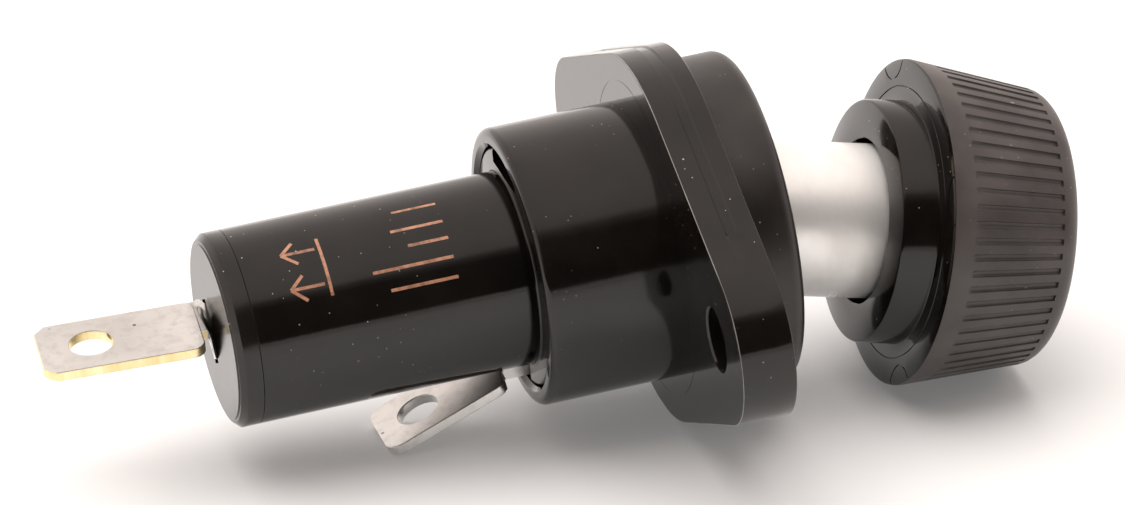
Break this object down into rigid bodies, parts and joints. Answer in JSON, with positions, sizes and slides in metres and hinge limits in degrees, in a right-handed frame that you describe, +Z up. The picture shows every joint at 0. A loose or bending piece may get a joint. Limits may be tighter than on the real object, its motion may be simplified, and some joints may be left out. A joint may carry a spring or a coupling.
{
  "type": "panel-mount cartridge fuse holder",
  "caption": "Flanged panel-mount fuse holder with a tubular body, quick-connect tabs and a grooved bayonet fuse carrier.",
  "frame": {"origin": "centre of the flange's rear face, on the body's axis, where the panel's front surface lies", "axes": "+X along the body towards the knob, the two mounting ears on Y, +Z up"},
  "size_m": [0.0768, 0.047, 0.0291],
  "materials": {
    "black_phenolic": "glossy black moulded phenolic",
    "bright_nickel": "bright nickel plate, lightly scuffed",
    "tinned_brass": "satin tin plate over brass",
    "brass": "plain stamped brass",
    "zinc_steel": "zinc-plated steel"
  },
  "bodies": {
    "holder": {"end_cap": "black_phenolic", "barrel": "black_phenolic", "front_housing": "black_phenolic", "rear_terminal": "tinned_brass", "rear_rivet": "tinned_brass", "rear_contact_cup": "brass", "side_terminal": "tinned_brass", "side_contact_spring": "brass", "side_rivet": "tinned_brass"},
    "mouth_ring": {"keyed_mouth_ring": "brass"},
    "spring_stage": {"thrust_washer": "brass", "knob_spring": "zinc_steel"},
    "carrier": {"knob": "black_phenolic", "contact_sleeve": "bright_nickel", "bayonet_pin_near": "bright_nickel", "bayonet_pin_far": "bright_nickel", "sleeve_plug": "brass", "screw_lock_washer": "zinc_steel", "carrier_screw": "zinc_steel"},
    "follower": {"fuse_follower": "brass"}
  },
  "joints": [
    {"name": "mouth_tilt", "type": "hinge", "parent": "holder", "child": "mouth_ring", "pos_m": [0.0075, 0, 0], "axis": [0, 1, 0], "range_deg": [-15.3, 7.3]},
    {"name": "carrier_slide", "type": "slide", "parent": "mouth_ring", "child": "spring_stage", "axis": [0.965, 0, -0.2622], "range_m": [-0.01065, 0.005]},
    {"name": "knob_twist", "type": "hinge", "parent": "spring_stage", "child": "carrier", "pos_m": [0.0075, 0, 0], "axis": [0.965, 0, -0.2622], "range_deg": [-60, 0]},
    {"name": "follower_slide", "type": "slide", "parent": "spring_stage", "child": "follower", "axis": [0.965, 0, -0.2622], "range_m": [0, 0.0028], "stiffness_N_per_m": 600, "deforming": ["knob_spring"]}
  ],
  "couplings": [
    {"joint": "mouth_tilt", "follows": "carrier_slide", "rad_per_m": 24.91}
  ]
}
